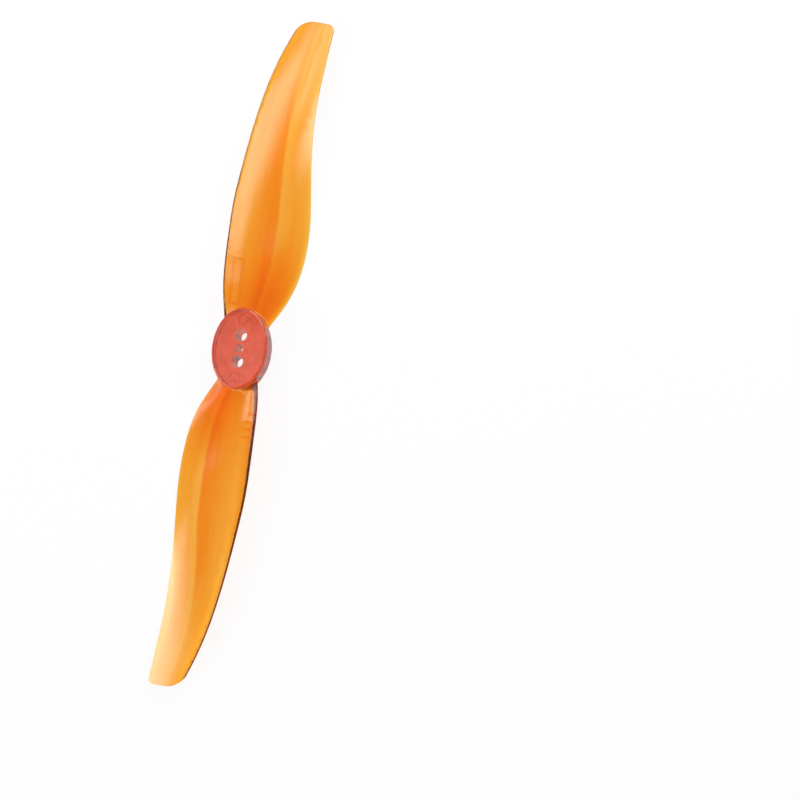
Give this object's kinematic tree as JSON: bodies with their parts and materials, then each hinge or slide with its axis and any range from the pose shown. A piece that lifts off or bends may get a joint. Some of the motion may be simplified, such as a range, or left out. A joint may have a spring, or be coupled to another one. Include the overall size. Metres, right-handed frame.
{
  "type": "propeller",
  "caption": "Small screw-on propeller: swept, twisted blades from an oval hub with a shaft hole and a screw hole each side of it; translucent amber plastic, one moulding.",
  "frame": {"origin": "on the shaft hole's axis, at the flat foot of the hub that sits on the motor", "axes": "+Z along the shaft hole, up and away from the motor; +X along the line of the two screw holes and the long way of the hub; seen from above the propeller turns counter-clockwise"},
  "size_m": [0.1282, 0.018, 0.006],
  "materials": {
    "amber_plastic": "glossy translucent amber polycarbonate"
  },
  "bodies": {
    "root": {"propeller": "amber_plastic"}
  },
  "joints": []
}
